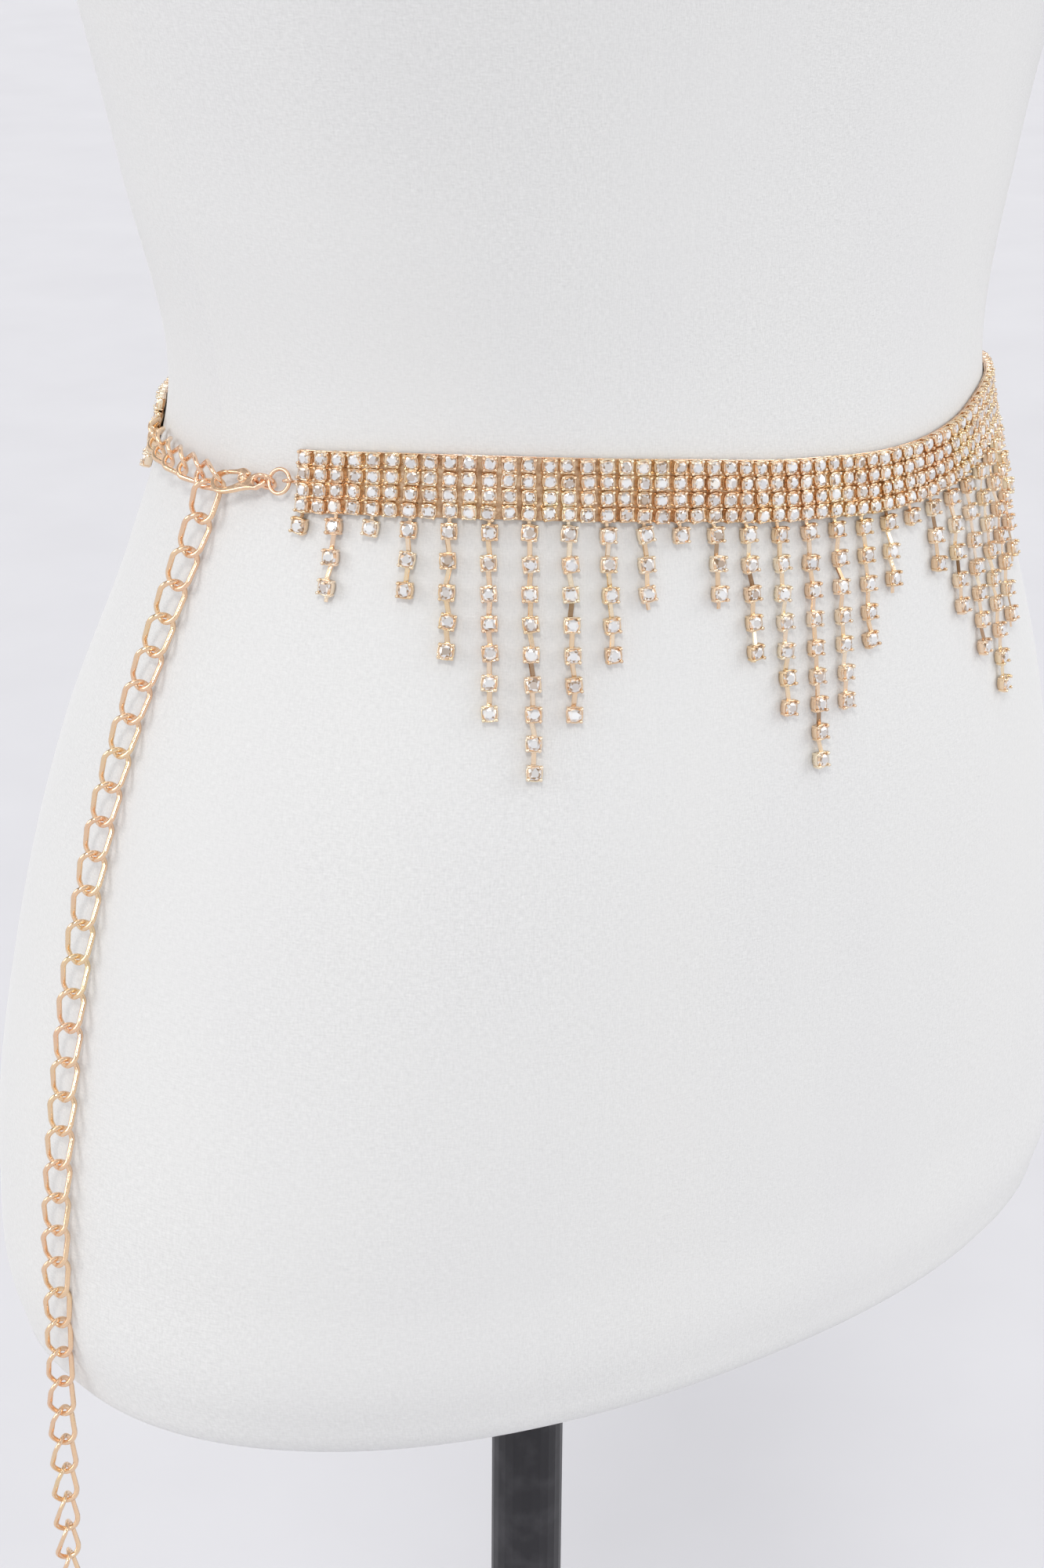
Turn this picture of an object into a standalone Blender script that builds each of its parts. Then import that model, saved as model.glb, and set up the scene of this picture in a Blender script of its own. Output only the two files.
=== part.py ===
# Gemstone fringe belt on a limbless dress form, with its pole and base plate.
# Metres, +Z up. The form faces -Y and its right side is at -X.
# The origin is the middle of the base plate's underside, on the pole's axis.

import math

import bmesh
import bpy
import numpy as np
from mathutils import Matrix, Vector

MM = 0.001
SEAM = 0.3 * MM

# Stand
WAIST_HEIGHT = 1050 * MM
FORM_AHEAD = 20 * MM
POLE_RADIUS = 11 * MM
BASE_RADIUS = 150 * MM
BASE_THICKNESS = 8 * MM
BASE_EDGE = 2 * MM
HUB_RADIUS = 24 * MM
HUB_HEIGHT = 30 * MM

# Dress form, highest section first: height from the waist, half width, front and back depth, in mm
FORM_SECTIONS = (
    (470, 46, 46, 40),
    (462, 52, 52, 45),
    (430, 53, 50, 52),
    (405, 66, 52, 62),
    (380, 104, 58, 68),
    (350, 150, 66, 76),
    (310, 166, 76, 86),
    (260, 162, 92, 94),
    (210, 155, 106, 101),
    (170, 149, 110, 104),
    (120, 138, 100, 102),
    (60, 123, 92, 97),
    (0, 113, 90, 90.5),
    (-40, 124.5, 96, 99),
    (-90, 142.5, 102, 115),
    (-150, 158, 103, 124),
    (-210, 168, 100, 121),
    (-248, 166.5, 96, 113),
    (-258, 162, 92, 109),
    (-264, 152, 83, 100),
)
FORM_SQUARENESS = 2.2
FORM_FACETS = 36
FORM_RING_STEP = 45 * MM
WAIST_RING_STEP = 13 * MM
WAIST_ZONE = 95 * MM

# Band: four rows of square stones set in cups
BAND_ROWS = 4
BAND_COLUMNS = 126
ROW_PITCH = 3.95 * MM
BAND_START_ANGLE = math.radians(-163)
BAND_GAP = 77.6 * MM
BAND_BACK = 0.5 * MM
BAND_GROOVE = 1.5 * MM
BAND_STONE = 3.0 * MM

# Band's top edge: angle round the form in degrees, rise above the waist in mm
BELT_LINE = (
    (-163, 4.0),
    (-147, 6.5),
    (-133, 6.8),
    (-119, 5.4),
    (-105, 2.6),
    (-92, -1.4),
    (-80, -4.5),
    (-71, -5.1),
    (-60, -3.8),
    (-50, -1.2),
    (-40, -0.5),
    (-20, -1.5),
    (0, -1.0),
    (60, 0.0),
    (110, 0.5),
    (140, -2.2),
    (150, -1.8),
    (158, -0.8),
    (168, 0.0),
)

# Fringe: a strand of set stones under every second column
VEE = (1, 3, 5, 7, 9, 7, 5, 3)
VEE_COUNT = 7
LEAD_IN = (1, 3)
LEAD_OUT = (1, 2, 1, 1, 1)
STRIP_HEIGHT = 0.9 * MM
STRIP_FACE = 1.7 * MM
STONE_PITCH = 7.3 * MM
CUP_HALF = 1.7 * MM
CUP_FACE = 2.9 * MM
BAR_HALF = 0.55 * MM
BAR_BACK = 0.9 * MM
BAR_FACE = 1.6 * MM

# Curb links
LINK_PITCH = 9.2 * MM
LINK_WIRE = 1.3 * MM
LINK_WIDTH = 7.6 * MM
LINK_PLAY = 0.35 * MM
LINK_TWIST = math.radians(80)
LINK_ARC_POINTS = 5
WAIST_LINKS = 6
HANGING_LINKS = 37

# Closure: rings, clasp and the line that they hang on, from the band's start
RING_WIRE = 1.0 * MM
RING_A_RADIUS = 3.0 * MM
RING_B_RADIUS = 2.5 * MM
RING_POINTS = 12
LOOP_WIRE = 0.8 * MM
LOOP_HALF = 1.5 * MM
LOOP_REACH = 3.0 * MM
CLASP_THICKNESS = 1.4 * MM
LEVER_THICKNESS = 1.2 * MM
CLASP_EYE_RADIUS = 1.15 * MM
# Outlines of the clasp and its lever: distance along, distance across and half width, in mm
CLASP_STROKE = (
    (-1.4, 0.0, 1.5),
    (0.0, 0.0, 2.2),
    (2.2, 0.4, 1.8),
    (4.6, 1.2, 1.2),
    (7.4, 2.1, 0.85),
    (10.3, 2.5, 0.75),
    (12.5, 2.0, 0.8),
    (13.7, 0.4, 0.85),
    (13.3, -1.3, 0.8),
    (11.8, -2.3, 0.65),
    (10.6, -2.5, 0.5),
)
LEVER_STROKE = (
    (3.5, -2.1, 0.6),
    (5.2, -2.6, 0.95),
    (7.2, -2.6, 0.6),
    (9.7, -2.6, 0.5),
)
RING_A_ALONG = 4.6 * MM
RING_B_ALONG = 8.8 * MM
CLASP_EYE_ALONG = 11.3 * MM
HOOK_DISTANCE = 21.3 * MM
HOOK_DROP = 2.6 * MM
CLOSURE_OUT = 2.2 * MM
HOOK_OUT = 4.4 * MM
HOOKED_STEP = 1.0 * MM
HANG_DROP = 1.25 * MM
RING_A_ROLL = math.radians(20)
RING_B_ROLL = math.radians(-38)
CLASP_ROLL = math.radians(38)
WAIST_TURN = math.radians(3.5)
CHAIN_ROLL = math.radians(-42)
CHAIN_OUT = 4.4 * MM
CHAIN_FREE_BELOW = -212 * MM
FREE_TURN = math.radians(-7)
# Hanging chain: drop below its top, shift towards the form's back, in mm
CHAIN_SWAY = (
    (0, 0.0),
    (50, 8.0),
    (120, 8.5),
    (190, 2.5),
    (260, 3.0),
    (350, 4.0),
)

# Surface walk: sample sizes for slopes and lengths
SLOPE_STEP = 1e-5
FALL_STEP = 2 * MM
BELT_SAMPLES = 1440

# Materials: base colour, roughness, metallic
MATERIALS = {
    "white_jersey": ((0.80, 0.80, 0.80), 0.9, 0.0),
    "black_metal": ((0.02, 0.02, 0.02), 0.35, 0.9),
    "set_stones": ((0.80, 0.74, 0.66), 0.15, 0.6),
    "gold_metal": ((0.83, 0.62, 0.38), 0.25, 1.0),
}


def clear_scene():
    """Remove what the file opened with."""
    for thing in list(bpy.data.objects):
        bpy.data.objects.remove(thing)


def make_material(name):
    """A Principled material from the table above."""
    colour, roughness, metallic = MATERIALS[name]
    material = bpy.data.materials.new(name)
    material.use_nodes = True
    shader = material.node_tree.nodes["Principled BSDF"]
    shader.inputs["Base Color"].default_value = (*colour, 1.0)
    shader.inputs["Roughness"].default_value = roughness
    shader.inputs["Metallic"].default_value = metallic
    return material


def add_object(name, data, material, matrix=Matrix.Identity(4)):
    """Link an object for one sub-part into the part's collection."""
    thing = bpy.data.objects.new(name, data)
    if not data.materials:
        data.materials.append(material)
    thing.matrix_world = matrix
    collection.objects.link(thing)
    return thing


def add_mesh(name, points, faces, material):
    """A closed mesh from computed points, its faces turned outward."""
    mesh = bpy.data.meshes.new(name)
    mesh.from_pydata([tuple(point) for point in points], [], faces)
    shape = bmesh.new()
    shape.from_mesh(mesh)
    bmesh.ops.recalc_face_normals(shape, faces=shape.faces)
    shape.to_mesh(mesh)
    shape.free()
    return add_object(name, mesh, material)


# Smooth curves through a table's rows, whose first column is the key

def row_slopes(table):
    """Slope of each value at each row, weighted by the spans beside it."""
    spans = np.diff(table[:, 0])[:, None]
    rises = np.diff(table[:, 1:], axis=0) / spans
    inner = (rises[:-1] * spans[1:] + rises[1:] * spans[:-1]) / (spans[:-1] + spans[1:])
    return np.vstack([rises[0], inner, rises[-1]])


def between_rows(table, slopes, key):
    """The values at a key, on a smooth curve through the rows."""
    keys = table[:, 0]
    key = min(max(key, keys[0]), keys[-1])
    low = min(int(np.searchsorted(keys, key, side="right")) - 1, len(keys) - 2)
    span = keys[low + 1] - keys[low]
    t = (key - keys[low]) / span
    return (
        (2 * t**3 - 3 * t**2 + 1) * table[low, 1:]
        + (t**3 - 2 * t**2 + t) * span * slopes[low]
        + (3 * t**2 - 2 * t**3) * table[low + 1, 1:]
        + (t**3 - t**2) * span * slopes[low + 1]
    )


# Form surface: theta runs round from +X through +Y, heights are from the waist

SECTION_TABLE = np.array(sorted(FORM_SECTIONS), dtype=float) * MM
SECTION_SLOPES = row_slopes(SECTION_TABLE)
FORM_BOTTOM = SECTION_TABLE[0, 0]


def section(height):
    """Half width, front depth and back depth of the form at a height."""
    return between_rows(SECTION_TABLE, SECTION_SLOPES, height)


def squared(value):
    """A circle's cosine or sine drawn out towards a rounded square."""
    return math.copysign(abs(value) ** (2 / FORM_SQUARENESS), value)


def skin(theta, height, out=0.0):
    """A point on the form, or a distance out from it."""
    half_width, front, back = section(height) + out
    middle = (back - front) / 2 - FORM_AHEAD
    depth = (back + front) / 2
    return np.array([
        half_width * squared(math.cos(theta)),
        middle + depth * squared(math.sin(theta)),
        WAIST_HEIGHT + height,
    ])


def skin_slopes(theta, height):
    """How the form's surface runs for a turn and for a rise."""
    turn = skin(theta + SLOPE_STEP, height) - skin(theta - SLOPE_STEP, height)
    rise = skin(theta, height + SLOPE_STEP) - skin(theta, height - SLOPE_STEP)
    return turn / (2 * SLOPE_STEP), rise / (2 * SLOPE_STEP)


def unit(vector):
    return vector / np.linalg.norm(vector)


def skin_axes(theta, height):
    """Unit directions across the surface, to the form's left, and out of it."""
    turn, rise = skin_slopes(theta, height)
    return unit(turn), unit(np.cross(turn, rise))


def fall(theta, height, run):
    """Where something that hangs on the surface reaches after a run down it."""
    steps = max(1, math.ceil(run / FALL_STEP))
    for _ in range(steps):
        turn, rise = skin_slopes(theta, height)
        side = np.dot(rise, turn) / np.dot(turn, turn)
        drop = run / steps / np.linalg.norm(side * turn - rise)
        theta += side * drop
        height -= drop
    return theta, height


# Belt line: distances round the form from the band's start, to the form's left

LINE_TABLE = np.array([(math.radians(angle), rise * MM) for angle, rise in BELT_LINE])
LINE_TABLE = np.vstack([LINE_TABLE - (2 * math.pi, 0), LINE_TABLE, LINE_TABLE + (2 * math.pi, 0)])
LINE_SLOPES = row_slopes(LINE_TABLE)
BAND_HEIGHT = BAND_ROWS * ROW_PITCH


def band_top(theta):
    """Height of the band's top edge."""
    return float(between_rows(LINE_TABLE, LINE_SLOPES, theta)[0])


BELT_ANGLES = BAND_START_ANGLE + np.linspace(-math.pi, 2 * math.pi, BELT_SAMPLES)
BELT_POINTS = np.array([skin(a, band_top(a) - BAND_HEIGHT / 2, BAND_GROOVE) for a in BELT_ANGLES])
BELT_STEPS = np.linalg.norm(np.diff(BELT_POINTS, axis=0), axis=1)
BELT_LENGTHS = np.concatenate([[0.0], np.cumsum(BELT_STEPS)])
BELT_START = np.interp(BAND_START_ANGLE, BELT_ANGLES, BELT_LENGTHS)
BELT_ROUND = np.interp(BAND_START_ANGLE + 2 * math.pi, BELT_ANGLES, BELT_LENGTHS) - BELT_START
COLUMN_PITCH = (BELT_ROUND - BAND_GAP) / BAND_COLUMNS


def belt_angle(distance):
    """Angle of a place on the belt line, behind the band's start if negative."""
    return np.interp(distance + BELT_START, BELT_LENGTHS, BELT_ANGLES)


def belt_place(distance, run):
    """Angle and height of a place on the belt, a run below its top edge."""
    theta = belt_angle(distance)
    return fall(theta, band_top(theta), run)


def belt_point(distance, run, out):
    """A point on the belt, a run below its top edge and a distance out."""
    theta, height = belt_place(distance, run)
    across, outward = skin_axes(theta, height)
    return skin(theta, height) + outward * out


# Stand

def build_form():
    """A loft through the form's sections, closed flat at both ends."""
    heights = []
    for low, high in zip(SECTION_TABLE[:-1, 0], SECTION_TABLE[1:, 0]):
        step = WAIST_RING_STEP if max(abs(low), abs(high)) < WAIST_ZONE else FORM_RING_STEP
        parts = max(1, round((high - low) / step))
        heights.extend(low + (high - low) * part / parts for part in range(parts))
    heights.append(SECTION_TABLE[-1, 0])
    angles = [2 * math.pi * facet / FORM_FACETS for facet in range(FORM_FACETS)]
    points = [skin(angle, height) for height in heights for angle in angles]
    faces = []
    for ring in range(len(heights) - 1):
        start = ring * FORM_FACETS
        for facet in range(FORM_FACETS):
            beside = (facet + 1) % FORM_FACETS
            faces.append((start + facet, start + beside,
                          start + FORM_FACETS + beside, start + FORM_FACETS + facet))
    top = (len(heights) - 1) * FORM_FACETS
    faces.append(tuple(range(FORM_FACETS))[::-1])
    faces.append(tuple(range(top, top + FORM_FACETS)))
    form = add_mesh("dress_form", points, faces, materials["white_jersey"])
    form.data.shade_smooth()
    form.data.set_sharp_from_angle(angle=math.radians(40))


def build_pole():
    """A round pole from the base's hub to the underside of the form."""
    low = BASE_THICKNESS + HUB_HEIGHT + SEAM
    high = WAIST_HEIGHT + FORM_BOTTOM - SEAM
    bpy.ops.mesh.primitive_cylinder_add(
        vertices=24, radius=POLE_RADIUS, depth=high - low, location=(0, 0, (low + high) / 2))
    pole = bpy.context.object
    pole.name = "pole"
    pole.data.materials.append(materials["black_metal"])
    move_to_part(pole)


def move_to_part(thing):
    """Take an object from the default collection into the part's."""
    for home in list(thing.users_collection):
        home.objects.unlink(thing)
    collection.objects.link(thing)


def build_base():
    """A turned plate with a rounded rim and a hub that holds the pole."""
    top = BASE_THICKNESS
    profile = (
        (0.0, top + HUB_HEIGHT),
        (HUB_RADIUS - BASE_EDGE, top + HUB_HEIGHT),
        (HUB_RADIUS, top + HUB_HEIGHT - BASE_EDGE),
        (HUB_RADIUS, top),
        (BASE_RADIUS - BASE_EDGE, top),
        (BASE_RADIUS, top - BASE_EDGE),
        (BASE_RADIUS, 0.0),
        (0.0, 0.0),
    )
    mesh = bpy.data.meshes.new("base_plate")
    edges = [(i, i + 1) for i in range(len(profile) - 1)]
    mesh.from_pydata([(radius, 0.0, height) for radius, height in profile], edges, [])
    base = add_object("base_plate", mesh, materials["black_metal"])
    screw = base.modifiers.new("turn", "SCREW")
    screw.steps = 40
    screw.render_steps = 40
    screw.use_merge_vertices = True
    screw.merge_threshold = 0.0001


# Belt

def build_band():
    """A bent wall, plain inside, with one raised stone in every cell outside."""
    points = []
    faces = []
    edges = BAND_COLUMNS + 1
    across = BAND_ROWS + 1
    for column in range(edges):
        for row in range(across):
            points.append(belt_point(column * COLUMN_PITCH, row * ROW_PITCH, BAND_GROOVE))
    back = len(points)
    for column in range(edges):
        for run in (0.0, BAND_HEIGHT):
            points.append(belt_point(column * COLUMN_PITCH, run, BAND_BACK))
    for column in range(BAND_COLUMNS):
        left = column * across
        right = left + across
        for row in range(BAND_ROWS):
            stone = len(points)
            points.append(belt_point((column + 0.5) * COLUMN_PITCH, (row + 0.5) * ROW_PITCH, BAND_STONE))
            corners = (left + row, left + row + 1, right + row + 1, right + row)
            for corner, after in zip(corners, corners[1:] + corners[:1]):
                faces.append((corner, after, stone))
        top = back + 2 * column
        faces.append((top, top + 1, top + 3, top + 2))
        faces.append((top, top + 2, right, left))
        faces.append((top + 1, top + 3, right + BAND_ROWS, left + BAND_ROWS))
    for column in (0, BAND_COLUMNS):
        side = [column * across + row for row in range(across)]
        faces.append(tuple(side + [back + 2 * column + 1, back + 2 * column]))
    add_mesh("gem_band", points, faces, materials["set_stones"])


def strand_section(distance, run, half, back, face):
    """Four corners across a strand that hangs under a place on the belt."""
    theta, height = belt_place(distance, run)
    across, outward = skin_axes(theta, height)
    middle = skin(theta, height)
    return [
        middle - across * half + outward * back,
        middle - across * half + outward * face,
        middle + across * half + outward * face,
        middle + across * half + outward * back,
    ]


def build_fringe(name, first, stone_counts, start, end):
    """One strip along the band's lower edge with its strands hanging from it."""
    strip_top = BAND_HEIGHT + SEAM
    strip_bottom = strip_top + STRIP_HEIGHT
    middles = [(2 * (first + index) + 0.5) * COLUMN_PITCH for index in range(len(stone_counts))]
    stations = [start]
    for middle in middles:
        stations.extend((middle - CUP_HALF, middle + CUP_HALF))
    stations.append(end)
    points = []
    for station in stations:
        for run, out in ((strip_top, BAND_BACK), (strip_top, STRIP_FACE),
                         (strip_bottom, STRIP_FACE), (strip_bottom, BAND_BACK)):
            points.append(belt_point(station, run, out))
    faces = [(0, 1, 2, 3)]
    for place in range(len(stations) - 1):
        near = 4 * place
        far = near + 4
        for corner in range(4):
            after = (corner + 1) % 4
            has_strand = place % 2 == 1 and corner == 2
            if not has_strand:
                faces.append((near + corner, near + after, far + after, far + corner))
    faces.append(tuple(4 * (len(stations) - 1) + corner for corner in range(4)))
    for index, count in enumerate(stone_counts):
        near = 4 * (2 * index + 1)
        ring = [near + 3, near + 2, near + 6, near + 7]
        run = strip_bottom
        for stone in range(count):
            if stone > 0:
                gap = STONE_PITCH - 2 * CUP_HALF
                ring = add_ring(points, faces, ring, strand_section(
                    middles[index], run + gap / 2, BAR_HALF, BAR_BACK, BAR_FACE))
                run += gap
                ring = add_ring(points, faces, ring, strand_section(
                    middles[index], run, CUP_HALF, BAND_BACK, CUP_FACE))
            run += 2 * CUP_HALF
            ring = add_ring(points, faces, ring, strand_section(
                middles[index], run, CUP_HALF, BAND_BACK, CUP_FACE))
        faces.append(tuple(ring))
    add_mesh(name, points, faces, materials["set_stones"])


def add_ring(points, faces, ring, corners):
    """Carry a strand on from one four-cornered ring to the next."""
    start = len(points)
    points.extend(corners)
    after = [start, start + 1, start + 2, start + 3]
    for corner in range(4):
        beside = (corner + 1) % 4
        faces.append((ring[corner], ring[beside], after[beside], after[corner]))
    return after


def build_fringes():
    """One piece for each V of the hem, the short runs at the ends joined to their neighbours."""
    first = 0
    for vee in range(VEE_COUNT):
        counts = VEE
        start = (2 * first - 0.5) * COLUMN_PITCH + SEAM / 2
        if vee == 0:
            counts = LEAD_IN + counts
            start = SEAM
        if vee == VEE_COUNT - 1:
            counts = counts + LEAD_OUT
        after = first + len(counts)
        end = (2 * after - 0.5) * COLUMN_PITCH - SEAM / 2
        if vee == VEE_COUNT - 1:
            end = BAND_COLUMNS * COLUMN_PITCH - SEAM
        build_fringe(f"fringe_{vee + 1:02d}", first, counts, start, end)
        first = after


# Wire pieces

def wire_curve(name, route, wire, closed):
    """A four-sided wire along a route of points."""
    curve = bpy.data.curves.new(name, "CURVE")
    curve.dimensions = "3D"
    curve.bevel_depth = wire / 2
    curve.bevel_resolution = 0
    curve.use_fill_caps = not closed
    spline = curve.splines.new("POLY")
    spline.points.add(len(route) - 1)
    for point, place in zip(spline.points, route):
        point.co = (*place, 1.0)
    spline.use_cyclic_u = closed
    return curve


def placed(point, along, outward, roll):
    """A matrix with X along, Z outward, then rolled about X."""
    x = Vector(along).normalized()
    y = Vector(outward).cross(x).normalized()
    z = x.cross(y)
    turn = Matrix((x, y, z)).transposed().to_4x4()
    return Matrix.Translation(Vector(point)) @ turn @ Matrix.Rotation(roll, 4, "X")


def link_route():
    """One curb link's centre line, long on X, twisted about X from end to end."""
    radius = (LINK_WIDTH - LINK_WIRE) / 2
    straight = LINK_HALF - radius
    route = []
    for side in (1, -1):
        for step in range(LINK_ARC_POINTS):
            angle = math.pi * (step / (LINK_ARC_POINTS - 1) - 0.5)
            x = side * (straight + radius * math.cos(angle))
            y = side * radius * math.sin(angle)
            twist = LINK_TWIST * x / (2 * LINK_HALF)
            route.append((x, y * math.cos(twist), y * math.sin(twist)))
    return route


def ring_route(radius):
    """A round ring's centre line in the XY plane."""
    angles = [2 * math.pi * step / RING_POINTS for step in range(RING_POINTS)]
    return [(radius * math.cos(angle), radius * math.sin(angle), 0.0) for angle in angles]


def loop_route():
    """A staple's centre line: legs from X = 0, bent round at its reach."""
    bend = [math.radians(angle) for angle in (90, 45, 0, -45, -90)]
    centre = LOOP_REACH - LOOP_HALF
    route = [(SEAM, LOOP_HALF, 0.0)]
    route.extend((centre + LOOP_HALF * math.cos(a), LOOP_HALF * math.sin(a), 0.0) for a in bend)
    route.append((SEAM, -LOOP_HALF, 0.0))
    return route


def stroke_outline(stroke):
    """The outline of a stroke with a half width at each of its points."""
    rows = np.array(stroke) * MM
    middles = rows[:, :2]
    headings = np.gradient(middles, axis=0)
    headings /= np.linalg.norm(headings, axis=1)[:, None]
    sides = np.stack([-headings[:, 1], headings[:, 0]], axis=1) * rows[:, 2:]
    return [tuple(p) for p in middles + sides] + [tuple(p) for p in (middles - sides)[::-1]]


def flat_curve(name, outlines, thickness):
    """A flat plate from closed outlines, the later ones its holes."""
    curve = bpy.data.curves.new(name, "CURVE")
    curve.dimensions = "2D"
    curve.fill_mode = "BOTH"
    curve.extrude = thickness / 2
    for outline in outlines:
        spline = curve.splines.new("POLY")
        spline.points.add(len(outline) - 1)
        for point, (x, y) in zip(spline.points, outline):
            point.co = (x, y, 0.0, 1.0)
        spline.use_cyclic_u = True
    return curve


LINK_HALF = (LINK_PITCH + LINK_PLAY + LINK_WIRE) / 2
CLOSURE_RUN = BAND_HEIGHT / 2
SWAY_TABLE = np.array(CHAIN_SWAY, dtype=float) * MM
SWAY_SLOPES = row_slopes(SWAY_TABLE)


def closure_line(ends):
    """Points along a stretch of the closure, from one named end to the other."""
    samples = np.linspace(0.0, 1.0, 60)
    line = []
    for t in samples:
        distance, run, out = (1 - t) * np.array(ends[0]) + t * np.array(ends[1])
        line.append(belt_point(distance, run, out))
    line = np.array(line)
    lengths = np.concatenate([[0.0], np.cumsum(np.linalg.norm(np.diff(line, axis=0), axis=1))])
    return line, lengths


def closure_place(stretch, reach, roll):
    """A matrix on a stretch of the closure: X away from its start, Z out of the form."""
    line, lengths = stretch
    before, point, after = (
        np.array([np.interp(reach + step, lengths, line[:, axis]) for axis in range(3)])
        for step in (-MM, 0.0, MM))
    outward = unit(np.array([point[0], point[1] + FORM_AHEAD, 0.0]))
    return placed(point, after - before, outward, roll)


def build_closure():
    """Loops, rings, clasp and waist links between the band's two ends."""
    gold = materials["gold_metal"]
    start = (0.0, CLOSURE_RUN, CLOSURE_OUT)
    hook = (-HOOK_DISTANCE, CLOSURE_RUN + HOOK_DROP, HOOK_OUT)
    finish = (-BAND_GAP, CLOSURE_RUN, CLOSURE_OUT)
    near = closure_line((start, hook))
    hooked = (hook[0], hook[1], hook[2] + HOOKED_STEP)
    far = closure_line((hooked, finish))

    loop = wire_curve("end_loop", loop_route(), LOOP_WIRE, False)
    near_roll = RING_A_ROLL + math.pi / 2
    add_object("end_loop_front", loop, gold, closure_place(near, 0.0, near_roll))
    add_object("ring_a", wire_curve("ring_a", ring_route(RING_A_RADIUS), RING_WIRE, True), gold,
               closure_place(near, RING_A_ALONG, RING_A_ROLL))
    add_object("ring_b", wire_curve("ring_b", ring_route(RING_B_RADIUS), RING_WIRE, True), gold,
               closure_place(near, RING_B_ALONG, RING_B_ROLL))

    clasp = closure_place(near, CLASP_EYE_ALONG, CLASP_ROLL)
    eye = [(x, y) for x, y, z in ring_route(CLASP_EYE_RADIUS)]
    body = flat_curve("clasp_body", [stroke_outline(CLASP_STROKE), eye], CLASP_THICKNESS)
    lever = flat_curve("clasp_lever", [stroke_outline(LEVER_STROKE)], LEVER_THICKNESS)
    add_object("clasp_body", body, gold, clasp)
    add_object("clasp_lever", lever, gold, clasp)

    link = wire_curve("curb_link", link_route(), LINK_WIRE, True)
    length = far[1][-1]
    last_wire = length - LOOP_REACH + (LOOP_WIRE + LINK_WIRE) / 2 + LINK_PLAY
    pitch = (last_wire - 2 * LINK_HALF) / (WAIST_LINKS - 1)
    for index in range(WAIST_LINKS):
        reach = LINK_HALF + index * pitch
        roll = WAIST_TURN * index * (WAIST_LINKS - 1 - index)
        add_object(f"link_waist_{index + 1:02d}", link, gold, closure_place(far, reach, roll))
    back = closure_place(far, length, LINK_TWIST / 2 - math.pi / 2) @ Matrix.Rotation(math.pi, 4, "Z")
    add_object("end_loop_back", loop, gold, back)
    build_hanging_chain(closure_place(far, LINK_HALF, 0.0), link)


def build_hanging_chain(first, link):
    """Links that hang from the lower side of the first waist link."""
    top = np.array(first.translation)
    top[2] -= HANG_DROP
    line = [top]
    drop = MM
    while top[2] - line[-1][2] < HANGING_LINKS * LINK_PITCH:
        height = line[-1][2] - drop - WAIST_HEIGHT
        y = top[1] + float(between_rows(SWAY_TABLE, SWAY_SLOPES, top[2] - WAIST_HEIGHT - height)[0])
        half_width, front, back = section(max(height, CHAIN_FREE_BELOW)) + CHAIN_OUT
        depth = (y + FORM_AHEAD - (back - front) / 2) / ((back + front) / 2)
        x = -half_width * (1 - abs(depth) ** FORM_SQUARENESS) ** (1 / FORM_SQUARENESS)
        line.append(np.array([min(x, top[0]), y, height + WAIST_HEIGHT]))
    line = np.array(line)
    lengths = np.concatenate([[0.0], np.cumsum(np.linalg.norm(np.diff(line, axis=0), axis=1))])
    free = np.interp(-(WAIST_HEIGHT + CHAIN_FREE_BELOW), -line[:, 2], lengths)
    for index in range(HANGING_LINKS):
        reach = LINK_HALF + index * LINK_PITCH
        ends = [
            np.array([np.interp(reach + step, lengths, line[:, axis]) for axis in range(3)])
            for step in (-LINK_HALF, LINK_HALF)]
        point = (ends[0] + ends[1]) / 2
        turn = FREE_TURN * max(0.0, reach - free) / LINK_PITCH
        matrix = placed(point, ends[1] - ends[0], (-1.0, 0.0, 0.0), CHAIN_ROLL + turn)
        add_object(f"link_hang_{index + 1:02d}", link, materials["gold_metal"], matrix)


clear_scene()
collection = bpy.data.collections.new("gemstone_belt")
bpy.context.scene.collection.children.link(collection)
materials = {name: make_material(name) for name in MATERIALS}
build_form()
build_pole()
build_base()
build_band()
build_fringes()
build_closure()
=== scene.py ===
# Looks of the gemstone belt on its dress form. Metres, in the row's frame.

import math
import random

import bmesh
import bpy
import numpy as np
from mathutils import Matrix, Vector


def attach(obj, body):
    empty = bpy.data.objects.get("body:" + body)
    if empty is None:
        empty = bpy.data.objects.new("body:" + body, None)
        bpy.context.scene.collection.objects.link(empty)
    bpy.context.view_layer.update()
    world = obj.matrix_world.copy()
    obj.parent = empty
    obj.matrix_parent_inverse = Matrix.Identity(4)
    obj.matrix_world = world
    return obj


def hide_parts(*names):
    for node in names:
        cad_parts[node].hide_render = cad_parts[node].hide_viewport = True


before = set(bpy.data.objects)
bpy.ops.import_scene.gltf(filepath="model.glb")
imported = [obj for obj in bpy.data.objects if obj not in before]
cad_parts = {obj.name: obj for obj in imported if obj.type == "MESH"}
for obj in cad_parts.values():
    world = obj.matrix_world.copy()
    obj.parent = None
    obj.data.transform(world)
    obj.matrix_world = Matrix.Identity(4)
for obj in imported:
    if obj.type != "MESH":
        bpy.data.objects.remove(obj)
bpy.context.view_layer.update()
scene = bpy.context.scene
scene.view_settings.view_transform = "Standard"
MM = 0.001

# The form and the belt line, the same values as the part's source

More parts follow.
